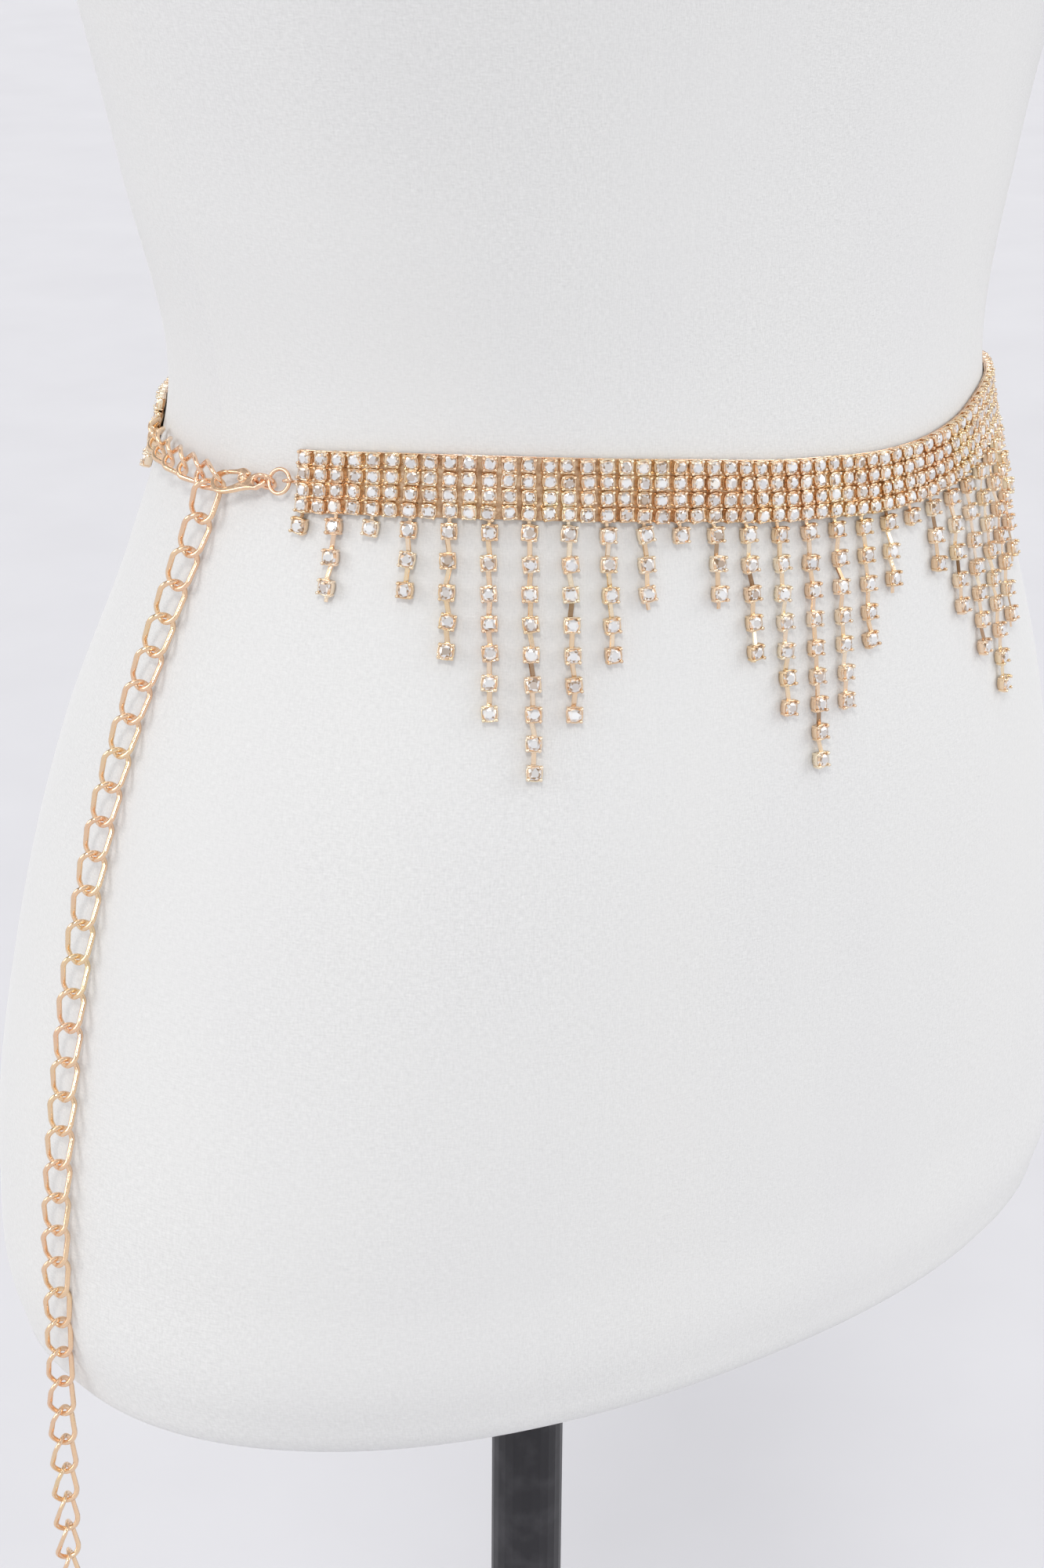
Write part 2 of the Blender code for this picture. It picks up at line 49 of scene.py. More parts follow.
WAIST_HEIGHT = 1050 * MM
FORM_AHEAD = 20 * MM
FORM_SQUARENESS = 2.2
FORM_SECTIONS = (
    (470, 46, 46, 40),
    (462, 52, 52, 45),
    (430, 53, 50, 52),
    (405, 66, 52, 62),
    (380, 104, 58, 68),
    (350, 150, 66, 76),
    (310, 166, 76, 86),
    (260, 162, 92, 94),
    (210, 155, 106, 101),
    (170, 149, 110, 104),
    (120, 138, 100, 102),
    (60, 123, 92, 97),
    (0, 113, 90, 90.5),
    (-40, 124.5, 96, 99),
    (-90, 142.5, 102, 115),
    (-150, 158, 103, 124),
    (-210, 168, 100, 121),
    (-248, 166.5, 96, 113),
    (-258, 162, 92, 109),
    (-264, 152, 83, 100),
)
BELT_LINE = (
    (-163, 4.0),
    (-147, 6.5),
    (-133, 6.8),
    (-119, 5.4),
    (-105, 2.6),
    (-92, -1.4),
    (-80, -4.5),
    (-71, -5.1),
    (-60, -3.8),
    (-50, -1.2),
    (-40, -0.5),
    (-20, -1.5),
    (0, -1.0),
    (60, 0.0),
    (110, 0.5),
    (140, -2.2),
    (150, -1.8),
    (158, -0.8),
    (168, 0.0),
)
BAND_ROWS = 4
BAND_COLUMNS = 126
ROW_PITCH = 3.95 * MM
BAND_START_ANGLE = math.radians(-163)
BAND_GAP = 77.6 * MM
BAND_GROOVE = 1.5 * MM
VEE = (1, 3, 5, 7, 9, 7, 5, 3)
VEE_COUNT = 7
LEAD_IN = (1, 3)
LEAD_OUT = (1, 2, 1, 1, 1)
STRIP_HEIGHT = 0.9 * MM
STONE_PITCH = 7.3 * MM
CUP_HALF = 1.7 * MM
SEAM = 0.3 * MM
LINK_PITCH = 9.2 * MM
LINK_WIRE = 1.3 * MM
LINK_WIDTH = 7.6 * MM
LINK_PLAY = 0.35 * MM
LINK_TWIST = math.radians(80)
WAIST_LINKS = 6
HANGING_LINKS = 37
RING_WIRE = 1.0 * MM
RING_A_RADIUS = 3.0 * MM
RING_B_RADIUS = 2.5 * MM
LOOP_WIRE = 0.8 * MM
LOOP_HALF = 1.5 * MM
LOOP_REACH = 3.0 * MM
CLASP_THICKNESS = 1.4 * MM
LEVER_THICKNESS = 1.2 * MM
CLASP_EYE_RADIUS = 1.15 * MM
CLASP_STROKE = (
    (-1.4, 0.0, 1.5),
    (0.0, 0.0, 2.2),
    (2.2, 0.4, 1.8),
    (4.6, 1.2, 1.2),
    (7.4, 2.1, 0.85),
    (10.3, 2.5, 0.75),
    (12.5, 2.0, 0.8),
    (13.7, 0.4, 0.85),
    (13.3, -1.3, 0.8),
    (11.8, -2.3, 0.65),
    (10.6, -2.5, 0.5),
)
LEVER_STROKE = (
    (3.5, -2.1, 0.6),
    (5.2, -2.6, 0.95),
    (7.2, -2.6, 0.6),
    (9.7, -2.6, 0.5),
)
RING_A_ALONG = 4.6 * MM
RING_B_ALONG = 8.8 * MM
CLASP_EYE_ALONG = 11.3 * MM
HOOK_DISTANCE = 21.3 * MM
HOOK_DROP = 2.6 * MM
CLOSURE_OUT = 2.2 * MM
HOOK_OUT = 4.4 * MM
HOOKED_STEP = 1.0 * MM
HANG_DROP = 1.25 * MM
RING_A_ROLL = math.radians(20)
RING_B_ROLL = math.radians(-38)
CLASP_ROLL = math.radians(38)
WAIST_TURN = math.radians(3.5)
CHAIN_ROLL = math.radians(-42)
CHAIN_OUT = 4.4 * MM
CHAIN_FREE_BELOW = -212 * MM
FREE_TURN = math.radians(-7)
# Hanging chain: drop below its top, shift towards the form's back, in mm
CHAIN_SWAY = (
    (0, 0.0),
    (50, 8.0),
    (120, 8.5),
    (190, 2.5),
    (260, 3.0),
    (350, 4.0),
)
SLOPE_STEP = 1e-5
FALL_STEP = 2 * MM
BELT_SAMPLES = 1440


def row_slopes(table):
    """Slope of each value at each row, weighted by the spans beside it."""
    spans = np.diff(table[:, 0])[:, None]
    rises = np.diff(table[:, 1:], axis=0) / spans
    inner = (rises[:-1] * spans[1:] + rises[1:] * spans[:-1]) / (spans[:-1] + spans[1:])
    return np.vstack([rises[0], inner, rises[-1]])


def between_rows(table, slopes, key):
    """The values at a key, on a smooth curve through the rows."""
    keys = table[:, 0]
    key = min(max(key, keys[0]), keys[-1])
    low = min(int(np.searchsorted(keys, key, side="right")) - 1, len(keys) - 2)
    span = keys[low + 1] - keys[low]
    t = (key - keys[low]) / span
    return (
        (2 * t**3 - 3 * t**2 + 1) * table[low, 1:]
        + (t**3 - 2 * t**2 + t) * span * slopes[low]
        + (3 * t**2 - 2 * t**3) * table[low + 1, 1:]
        + (t**3 - t**2) * span * slopes[low + 1]
    )


SECTION_TABLE = np.array(sorted(FORM_SECTIONS), dtype=float) * MM
SECTION_SLOPES = row_slopes(SECTION_TABLE)
FORM_BOTTOM = SECTION_TABLE[0, 0]


def section(height):
    """Half width, front depth and back depth of the form at a height."""
    return between_rows(SECTION_TABLE, SECTION_SLOPES, height)


def squared(value):
    """A circle's cosine or sine drawn out towards a rounded square."""
    return math.copysign(abs(value) ** (2 / FORM_SQUARENESS), value)


def skin(theta, height, out=0.0):
    """A point on the form, or a distance out from it."""
    half_width, front, back = section(height) + out
    middle = (back - front) / 2 - FORM_AHEAD
    depth = (back + front) / 2
    return np.array([
        half_width * squared(math.cos(theta)),
        middle + depth * squared(math.sin(theta)),
        WAIST_HEIGHT + height,
    ])


def skin_slopes(theta, height):
    """How the form's surface runs for a turn and for a rise."""
    turn = skin(theta + SLOPE_STEP, height) - skin(theta - SLOPE_STEP, height)
    rise = skin(theta, height + SLOPE_STEP) - skin(theta, height - SLOPE_STEP)
    return turn / (2 * SLOPE_STEP), rise / (2 * SLOPE_STEP)


def unit(vector):
    return vector / np.linalg.norm(vector)


def lengths_along(line):
    """How far each point of a line lies from its start, along it."""
    return np.concatenate([[0.0], np.cumsum(np.linalg.norm(np.diff(line, axis=0), axis=1))])


def point_along(line, lengths, reach):
    """The point of a line at a distance from its start."""
    return np.array([np.interp(reach, lengths, line[:, axis]) for axis in range(3)])


def skin_axes(theta, height):
    """Unit directions across the surface, to the form's left, and out of it."""
    turn, rise = skin_slopes(theta, height)
    return unit(turn), unit(np.cross(turn, rise))


def fall(theta, height, run):
    """Where something that hangs on the surface reaches after a run down it."""
    steps = max(1, math.ceil(run / FALL_STEP))
    for _ in range(steps):
        turn, rise = skin_slopes(theta, height)
        side = np.dot(rise, turn) / np.dot(turn, turn)
        drop = run / steps / np.linalg.norm(side * turn - rise)
        theta += side * drop
        height -= drop
    return theta, height


LINE_TABLE = np.array([(math.radians(angle), rise * MM) for angle, rise in BELT_LINE])
LINE_TABLE = np.vstack([LINE_TABLE + (turn * 2 * math.pi, 0) for turn in (-1, 0, 1)])
LINE_SLOPES = row_slopes(LINE_TABLE)
BAND_HEIGHT = BAND_ROWS * ROW_PITCH


def band_top(theta):
    """Height of the band's top edge."""
    return float(between_rows(LINE_TABLE, LINE_SLOPES, theta)[0])


BELT_ANGLES = BAND_START_ANGLE + np.linspace(-math.pi, 2 * math.pi, BELT_SAMPLES)
BELT_POINTS = np.array([skin(a, band_top(a) - BAND_HEIGHT / 2, BAND_GROOVE) for a in BELT_ANGLES])
BELT_LENGTHS = lengths_along(BELT_POINTS)
BELT_START = np.interp(BAND_START_ANGLE, BELT_ANGLES, BELT_LENGTHS)
BELT_END = np.interp(BAND_START_ANGLE + 2 * math.pi, BELT_ANGLES, BELT_LENGTHS)
BELT_ROUND = BELT_END - BELT_START
COLUMN_PITCH = (BELT_ROUND - BAND_GAP) / BAND_COLUMNS


def belt_place(distance, run):
    """Angle and height of a place on the belt, a run below its top edge."""
    theta = np.interp(distance + BELT_START, BELT_LENGTHS, BELT_ANGLES)
    return fall(theta, band_top(theta), run)


def belt_point(distance, run, out):
    """A point on the belt, a run below its top edge and a distance out."""
    theta, height = belt_place(distance, run)
    across, outward = skin_axes(theta, height)
    return skin(theta, height) + outward * out


def belt_frame(distance, run, out):
    """Axes at a place on the belt: X to the form's left, Y up the fall line, Z out."""
    theta, height = belt_place(distance, run)
    turn, rise = skin_slopes(theta, height)
    outward = unit(np.cross(turn, rise))
    up = unit(rise - turn * np.dot(rise, turn) / np.dot(turn, turn))
    across = np.cross(up, outward)
    axes = np.stack([across, up, outward], axis=1)
    return skin(theta, height) + outward * out, axes


# Materials

KNIT_RADIUS = 115 * MM


def new_material(name):
    """An empty node material with its shader and output."""
    material = bpy.data.materials.new(name)
    material.use_nodes = True
    return material, material.node_tree, material.node_tree.nodes["Principled BSDF"]


def add_node(tree, kind, **settings):
    node = tree.nodes.new(kind)
    for name, value in settings.items():
        setattr(node, name, value)
    return node


def noise(tree, vector, scale, detail=3.0, roughness=0.5):
    node = add_node(tree, "ShaderNodeTexNoise")
    node.inputs["Scale"].default_value = scale
    node.inputs["Detail"].default_value = detail
    node.inputs["Roughness"].default_value = roughness
    tree.links.new(vector, node.inputs["Vector"])
    return node.outputs["Fac"]


def ramp(tree, factor, *stops):
    """A colour ramp through (position, colour) stops."""
    node = add_node(tree, "ShaderNodeValToRGB")
    elements = node.color_ramp.elements
    while len(elements) < len(stops):
        elements.new(0.5)
    for element, (position, colour) in zip(elements, stops):
        element.position = position
        element.color = (*colour, 1.0)
    tree.links.new(factor, node.inputs["Fac"])
    return node.outputs["Color"]


def math_node(tree, operation, first, second=None):
    node = add_node(tree, "ShaderNodeMath", operation=operation)
    for socket, value in zip(node.inputs, (first, second)):
        if value is None:
            continue
        if isinstance(value, (int, float)):
            socket.default_value = value
        else:
            tree.links.new(value, socket)
    return node.outputs["Value"]


def multiplied(tree, first, second):
    """Two colours multiplied."""
    node = add_node(tree, "ShaderNodeMix", data_type="RGBA", blend_type="MULTIPLY")
    node.inputs["Factor"].default_value = 1.0
    colours = [socket for socket in node.inputs if socket.type == "RGBA"]
    tree.links.new(first, colours[0])
    tree.links.new(second, colours[1])
    return [socket for socket in node.outputs if socket.type == "RGBA"][0]


def bump(tree, height, distance, strength=1.0, normal=None):
    node = add_node(tree, "ShaderNodeBump")
    node.inputs["Distance"].default_value = distance
    node.inputs["Strength"].default_value = strength
    tree.links.new(height, node.inputs["Height"])
    if normal is not None:
        tree.links.new(normal, node.inputs["Normal"])
    return node.outputs["Normal"]


def object_place(tree):
    return add_node(tree, "ShaderNodeTexCoord").outputs["Object"]


def mapped(tree, vector, scale):
    node = add_node(tree, "ShaderNodeMapping")
    node.inputs["Scale"].default_value = scale
    tree.links.new(vector, node.inputs["Vector"])
    return node.outputs["Vector"]


def gold_material(name, rosy, warm, yellow, toned=False, patch_scale=55.0):
    """Pale gold plate in rosy and warm patches with slight dents, toned by the face if asked: low
    tones paint a dark reflection, high tones a painted highlight.
    """
    material, tree, shader = new_material(name)
    place = object_place(tree)
    patches = noise(tree, place, patch_scale, 3.0)
    colour = ramp(tree, patches, (0.30, rosy), (0.52, warm), (0.72, yellow))
    if toned:
        tone = add_node(tree, "ShaderNodeAttribute", attribute_name="painted_glint_tone")
        # Painted dark reflections and highlights, multiplied into the gold by each face's tone.
        shade = ramp(
            tree, tone.outputs["Fac"],
            (0.0, (0.24, 0.15, 0.09)),
            (0.45, (0.90, 0.78, 0.68)),
            (0.75, (0.96, 0.87, 0.79)),
            (1.0, (1.0, 1.0, 1.0)))
        colour = multiplied(tree, colour, shade)
    tree.links.new(colour, shader.inputs["Base Color"])
    polish = ramp(tree, noise(tree, place, 420.0, 2.0), (0.3, (0.12,) * 3), (0.7, (0.28,) * 3))
    tree.links.new(polish, shader.inputs["Roughness"])
    shader.inputs["Metallic"].default_value = 1.0
    dents = bump(tree, noise(tree, place, 900.0, 2.0), 0.00012, 0.6)
    tree.links.new(dents, shader.inputs["Normal"])
    return material


def stone_material():
    """Foil-backed cut stones: mirror-like facets, each with its own tone, painted from dark brown
    through white to amber as painted reflections and glints.
    """
    material, tree, shader = new_material("cut_stone")
    tone = add_node(tree, "ShaderNodeAttribute", attribute_name="painted_glint_tone")
    # Painted reflections: dark brown, grey, white and amber facets stand for what each facet
    # would mirror.
    colour = ramp(
        tree, tone.outputs["Fac"],
        (0.0, (0.36, 0.23, 0.13)),
        (0.28, (0.58, 0.48, 0.40)),
        (0.50, (0.74, 0.73, 0.73)),
        (0.78, (0.95, 0.95, 0.96)),
        (0.88, (0.97, 0.90, 0.82)),
        (0.98, (0.86, 0.56, 0.33)))
    tree.links.new(colour, shader.inputs["Base Color"])
    shader.inputs["Metallic"].default_value = 0.55
    shader.inputs["Roughness"].default_value = 0.08
    shader.inputs["Coat Weight"].default_value = 1.0
    shader.inputs["Coat Roughness"].default_value = 0.02
    return material


def jersey_material():
    """Stretched white knit: fine speckled rows and threads, faint streaks and clouds."""
    material, tree, shader = new_material("white_knit")
    place = object_place(tree)
    split = add_node(tree, "ShaderNodeSeparateXYZ")
    tree.links.new(place, split.inputs["Vector"])
    ahead = math_node(tree, "ADD", split.outputs["Y"], FORM_AHEAD)
    angle = math_node(tree, "ARCTAN2", ahead, split.outputs["X"])
    round_way = math_node(tree, "MULTIPLY", angle, KNIT_RADIUS)
    flat = add_node(tree, "ShaderNodeCombineXYZ")
    tree.links.new(round_way, flat.inputs["X"])
    tree.links.new(split.outputs["Z"], flat.inputs["Z"])

    def knit(across, up, detail):
        return noise(tree, mapped(tree, flat.outputs["Vector"], (across, 1.0, up)), 1.0, detail)

    rows = knit(700.0, 2100.0, 2.0)
    threads = knit(2300.0, 600.0, 2.0)
    patch = ramp(tree, knit(14.0, 9.0, 3.0), (0.35, (0.45,) * 3), (0.65, (1.0,) * 3))
    weave = math_node(tree, "SUBTRACT", math_node(tree, "ADD", rows, threads), 1.0)
    weave = math_node(tree, "MULTIPLY", weave, patch)
    streaks = knit(260.0, 10.0, 3.0)
    fuzz = noise(tree, place, 1500.0, 2.0)
    normal = bump(tree, weave, 0.00025, 0.5)
    normal = bump(tree, streaks, 0.0011, 0.20, normal)
    normal = bump(tree, fuzz, 0.0002, 0.35, normal)
    tree.links.new(normal, shader.inputs["Normal"])
    base = ramp(
        tree, knit(16.0, 7.0, 4.0),
        (0.25, (0.788, 0.786, 0.786)),
        (0.5, (0.80, 0.80, 0.794)),
        (0.75, (0.808, 0.805, 0.795)))
    weave_tone = math_node(tree, "ADD", weave, 0.5)
    speckle = ramp(tree, weave_tone, (0.2, (0.875,) * 3), (0.8, (1.0,) * 3))
    tree.links.new(multiplied(tree, base, speckle), shader.inputs["Base Color"])
    shader.inputs["Roughness"].default_value = 0.92
    shader.inputs["Sheen Weight"].default_value = 0.30
    shader.inputs["Sheen Roughness"].default_value = 0.5
    shader.inputs["Specular IOR Level"].default_value = 0.25
    return material


def board_material():
    """Pale pressed board that closes the form's underside and neck."""
    material, tree, shader = new_material("pressed_board")
    place = object_place(tree)
    grain = noise(tree, place, 240.0, 4.0)
    colour = ramp(tree, grain, (0.35, (0.62, 0.60, 0.57)), (0.65, (0.72, 0.70, 0.67)))
    tree.links.new(colour, shader.inputs["Base Color"])
    shader.inputs["Roughness"].default_value = 0.85
    tree.links.new(bump(tree, grain, 0.0002, 0.5), shader.inputs["Normal"])
    return material


def black_material():
    """Black lacquered steel with a faint drawn grain and fine dust."""
    material, tree, shader = new_material("black_lacquer")
    place = object_place(tree)
    drawn = noise(tree, mapped(tree, place, (900.0, 900.0, 12.0)), 1.0, 3.0)
    dust = noise(tree, place, 130.0, 5.0)
    colour = ramp(tree, dust, (0.45, (0.024, 0.023, 0.027)), (0.80, (0.050, 0.048, 0.054)))
    tree.links.new(colour, shader.inputs["Base Color"])
    gloss = ramp(tree, drawn, (0.3, (0.38,) * 3), (0.7, (0.50,) * 3))
    tree.links.new(gloss, shader.inputs["Roughness"])
    shader.inputs["Specular IOR Level"].default_value = 0.3
    tree.links.new(bump(tree, drawn, 0.00005, 0.4), shader.inputs["Normal"])
    return material


# Building pieces

def add_piece(name, mesh, material, slot, *nodes):
    """A shown piece that rides on the body and stands for the nodes."""
    piece = bpy.data.objects.new(name, mesh)
    scene.collection.objects.link(piece)
    mesh.materials.append(material)
    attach(piece, "root")
    if nodes:
        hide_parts(*nodes)
    return piece


def mesh_of(name, points, faces, smooth=False):
    mesh = bpy.data.meshes.new(name)
    mesh.from_pydata([tuple(p) for p in points], [], [tuple(f) for f in faces])
    mesh.update()
    for polygon in mesh.polygons:
        polygon.use_smooth = smooth
    return mesh


def circle(radius, count):
    """Points on a circle about the origin."""
    turns = np.linspace(0, 2 * math.pi, count, endpoint=False)
    return [(radius * math.cos(a), radius * math.sin(a)) for a in turns]


def ring_faces(first, second, count, flipped=False):
    """Faces between two rings of points, given by where each starts."""
    faces = []
    for step in range(count):
        after = (step + 1) % count
        if flipped:
            faces.append((first + step, second + step, second + after, first + after))
        else:
            faces.append((first + step, first + after, second + after, second + step))
    return faces


class Heap:
    """Points and faces of many small shapes that become one mesh."""

    def __init__(self):
        self.points = []
        self.faces = []
        self.smooth = []
        self.tones = []
        self.count = 0

    def add(self, template, origin, axes, tones=None):
        points, faces, smooth = template
        self.points.append(points @ axes.T + origin)
        self.faces.extend(tuple(i + self.count for i in face) for face in faces)
        self.smooth.extend(smooth)
        if tones is not None:
            self.tones.extend(tones)
        self.count += len(points)

    def mesh(self, name):
        mesh = bpy.data.meshes.new(name)
        mesh.from_pydata(np.vstack(self.points).tolist(), [], self.faces)
        mesh.update()
        mesh.polygons.foreach_set("use_smooth", self.smooth)
        if self.tones:
            layer = mesh.attributes.new("painted_glint_tone", "FLOAT", "FACE")
            layer.data.foreach_set("value", self.tones)
        return mesh


# Stone and cup

STONE_HALF = 1.58 * MM
STONE_LIFT = 2.30 * MM
STONE_ROUNDNESS = 0.72
STONE_SIDES = 8
GIRDLE_SIDES = 2 * STONE_SIDES
# Rings of a stone's corners from its table down: corners, share of its half width,
# height in mm, turn in corners
STONE_RINGS = (
    (STONE_SIDES, 0.52, 0.66, 0.5),
    (STONE_SIDES, 0.82, 0.48, 0.0),
    (GIRDLE_SIDES, 1.0, 0.08, 0.0),
    (GIRDLE_SIDES, 1.0, -0.35, 0.0),
)
# Facets on each side of a stone's table: stars first, then the mains
STAR_FACETS = 2
SIDE_FACETS = 5
CUP_BACK = 0.45 * MM
CUP_CORNERS = 20
CUP_ROUNDNESS = 0.66
UP = np.array([0.0, 0.0, 1.0])
# Cup wall from its back round the rim to the seat: half width and height, in mm
CUP_WALL = (
    (1.45, 0.0),
    (1.76, 0.20),
    (1.87, 1.72),
    (1.72, 1.94),
    (1.52, 1.60),
)
# Claw from its root to its tip: reach along the diagonal, height, thickness, lean in degrees
CLAW_SECTIONS = (
    (2.06, 0.40, 0.28, 0),
    (2.12, 1.80, 0.36, 12),
    (1.98, 2.42, 0.42, 50),
    (1.60, 2.55, 0.28, 95),
)
CLAW_SIDES = 6
FRINGE_CUP = 1.12
BAR_EDGE = 0.35
BAR_TOP = 0.7
WIRE_RADIUS = 0.18 * MM
WIRE_OUT = 1.1 * MM
WIRE_SIDES = 8
PLATE_MARGIN = 0.15 * MM
PLATE_INSIDE = 0.5 * MM
PLATE_OUTSIDE = 0.8 * MM
BAR_LAP = 1.0 * MM
BAR_HALF_WIDTH = 0.62 * MM
BAR_THICKNESS = 0.45 * MM
BAR_OUT = 1.45 * MM
STUB_LENGTH = 2.2 * MM
STUB_HALF_WIDTH = 0.5 * MM
STUB_THICKNESS = 0.4 * MM
STUB_OUT = 1.0 * MM
STUB_LAP = 0.2 * MM
TAIL_DROP = 0.9 * MM
TAIL_OUT = 1.1 * MM
TAIL_SHARE = 0.35

# Unevenness: spreads of turns in degrees, of places in metres and of tones from 0 to 1; the tones
# are partly random and partly painted reflections and highlights
SEED = 7
BAND_WOBBLE = 3.5
FRINGE_WOBBLE = 4.0
STONE_WOBBLE = 3.0
BAR_WOBBLE = 7.0
COLUMN_SPREAD = 0.09 * MM
ROW_SPREAD = 0.04 * MM
STRAND_SPREAD = 0.10 * MM
STRAND_WAVE = 1.3
STONE_TONE = 0.53
STONE_TONE_SPREAD = 0.11
TABLE_SPREAD = 0.10
FACET_SPREAD = 0.36
FACET_BRIGHTEST = 0.86
GOLD_REFLECTION_SHARE = 0.58
GOLD_REFLECTION_TONES = (0.92, 1.0)
DARK_REFLECTION_TONES = (0.0, 0.25)
MIDDLE_TONES = (0.42, 0.75)
HIGHLIGHT_TONES = (0.75, 1.0)


def cushion(angle, roundness):
    """A point on a unit square with rounded corners."""
    c, s = math.cos(angle), math.sin(angle)
    return math.copysign(abs(c) ** roundness, c), math.copysign(abs(s) ** roundness, s)


def stone_template():
    """A cushion-cut crown: table, stars, mains and girdle facets, Z up from its girdle."""
    points = []
    starts = []
    for count, size, height, turn in STONE_RINGS:
        starts.append(len(points))
        for step in range(count):
            x, y = cushion(2 * math.pi * (step + turn) / count, STONE_ROUNDNESS)
            points.append((STONE_HALF * size * x, STONE_HALF * size * y, height * MM))
    faces = [tuple(range(STONE_SIDES))]
    table, star, girdle, low = starts
    for step in range(STONE_SIDES):
        after = (step + 1) % STONE_SIDES
        faces.append((table + step, star + after, table + after))
        faces.append((table + step, star + step, star + after))
        left = girdle + 2 * step
        middle = girdle + 2 * step + 1
        right = girdle + (2 * step + 2) % GIRDLE_SIDES
        faces.append((star + step, left, middle))
        faces.append((star + step, middle, star + after))
        faces.append((star + after, middle, right))
    faces.extend(ring_faces(girdle, low, GIRDLE_SIDES, flipped=True))
    return np.array(points), faces, [False] * len(faces)


def cup_template():
    """A square cup with thin rounded walls and four claws bent in over the stone."""
    points = []
    faces = []
    corners = CUP_CORNERS
    turns = [2 * math.pi * (step + 0.5) / corners for step in range(corners)]
    outline = [cushion(turn, CUP_ROUNDNESS) for turn in turns]
    for half, height in CUP_WALL:
        points.extend((half * MM * x, half * MM * y, height * MM) for x, y in outline)
    last = (len(CUP_WALL) - 1) * corners
    for start in range(0, last, corners):
        faces.extend(ring_faces(start, start + corners, corners))
    smooth = [True] * len(faces) + [False, False]
    faces.append(tuple(reversed(range(corners))))
    faces.append(tuple(range(last, last + corners)))
    for quarter in range(4):
        turn = math.pi / 4 + quarter * math.pi / 2
        out = np.array([math.cos(turn), math.sin(turn), 0.0])
        side = np.array([-math.sin(turn), math.cos(turn), 0.0])
        start = len(points)
        for reach, height, thick, lean in CLAW_SECTIONS:
            face_way = out * math.cos(math.radians(lean)) + UP * math.sin(math.radians(lean))
            for step in range(CLAW_SIDES):
                angle = 2 * math.pi * step / CLAW_SIDES
                p = out * reach + UP * height
                p = p + (face_way * math.cos(angle) + side * math.sin(angle)) * thick
                points.append(tuple(p * MM))
        tip = start + (len(CLAW_SECTIONS) - 1) * CLAW_SIDES
        for ring in range(start, tip, CLAW_SIDES):
            faces.extend(ring_faces(ring, ring + CLAW_SIDES, CLAW_SIDES))
        faces.append(tuple(range(tip, tip + CLAW_SIDES)))
    smooth += [True] * (len(faces) - len(smooth))
    return np.array(points), faces, smooth


def bar_template(length, half_width, thickness):
    """A flat bar with softened long edges, along Y."""
    profile = ((-1, 0), (-1, BAR_EDGE), (-BAR_TOP, 1), (BAR_TOP, 1), (1, BAR_EDGE), (1, 0))
    points = []
    for y in (-length / 2, length / 2):
        points.extend((x * half_width, y, z * thickness) for x, z in profile)
    n = len(profile)
    faces = [(i, (i + 1) % n, n + (i + 1) % n, n + i) for i in range(n)]
    faces.append(tuple(range(n))[::-1])
    faces.append(tuple(range(n, 2 * n)))
    return np.array(points), faces, [False] * len(faces)


STONE = stone_template()
CUP = cup_template()
chance = random.Random(SEED)


def facet_tones():
    """One tone a facet, near the stone's own random tone and spread into painted dark facets and
    glints; some outer facets get a painted reflection of the gold cup.
    """
    own = chance.gauss(STONE_TONE, STONE_TONE_SPREAD)
    tones = []
    crown = STONE_SIDES * SIDE_FACETS
    for index, face in enumerate(STONE[1]):
        outer = index > crown or (index > 0 and (index - 1) % SIDE_FACETS >= STAR_FACETS)
        if outer and chance.random() < GOLD_REFLECTION_SHARE:
            tones.append(chance.uniform(*GOLD_REFLECTION_TONES))
            continue
        spread = TABLE_SPREAD if len(face) == STONE_SIDES else FACET_SPREAD
        tones.append(min(FACET_BRIGHTEST, max(0.0, chance.gauss(own, spread))))
    return tones


def tilted(axes, degrees):
    """Axes turned a little, as no two stones sit quite alike."""
    turn = Matrix.Rotation(math.radians(chance.gauss(0, degrees)), 3, "X")
    turn = turn @ Matrix.Rotation(math.radians(chance.gauss(0, degrees)), 3, "Y")
    turn = turn @ Matrix.Rotation(math.radians(chance.gauss(0, degrees)), 3, "Z")
    return axes @ np.array(turn)


def metal_tones(template, dark, bright):
    """One tone for all of a cup or bar: a painted dark reflection or a painted highlight for
    these shares, else in between.
    """
    draw = chance.random()
    if draw < dark:
        tone = chance.uniform(*DARK_REFLECTION_TONES)
    elif draw > 1 - bright:
        tone = chance.uniform(*HIGHLIGHT_TONES)
    else:
        tone = chance.uniform(*MIDDLE_TONES)
    return [tone] * len(template[1])


def set_stone(cups, stones, origin, axes, wobble, scale=1.0):
    """A cup and its stone at a place, the cup's back on the origin."""
    axes = tilted(axes, wobble) * scale
    cups.add(CUP, origin, axes, metal_tones(CUP, dark=0.0, bright=0.5))
    girdle = origin + axes[:, 2] * (STONE_LIFT - CUP_BACK)
    stones.add(STONE, girdle, tilted(axes, STONE_WOBBLE), facet_tones())


def build_band():
    """Rows of set stones on a gold backing with a wire along its upper edge."""
    cups = Heap()
    stones = Heap()
    for column in range(BAND_COLUMNS):
        for row in range(BAND_ROWS):
            distance = (column + 0.5) * COLUMN_PITCH + chance.gauss(0, COLUMN_SPREAD)
            run = (row + 0.5) * ROW_PITCH + chance.gauss(0, ROW_SPREAD)
            origin, axes = belt_frame(distance, run, CUP_BACK)
            set_stone(cups, stones, origin, axes, BAND_WOBBLE)
    add_piece("band_cups", cups.mesh("band_cups"), cup_gold, "gold_metal", "gem_band")
    add_piece("band_stones", stones.mesh("band_stones"), crystal, "set_stones", "gem_band")
    build_backing()


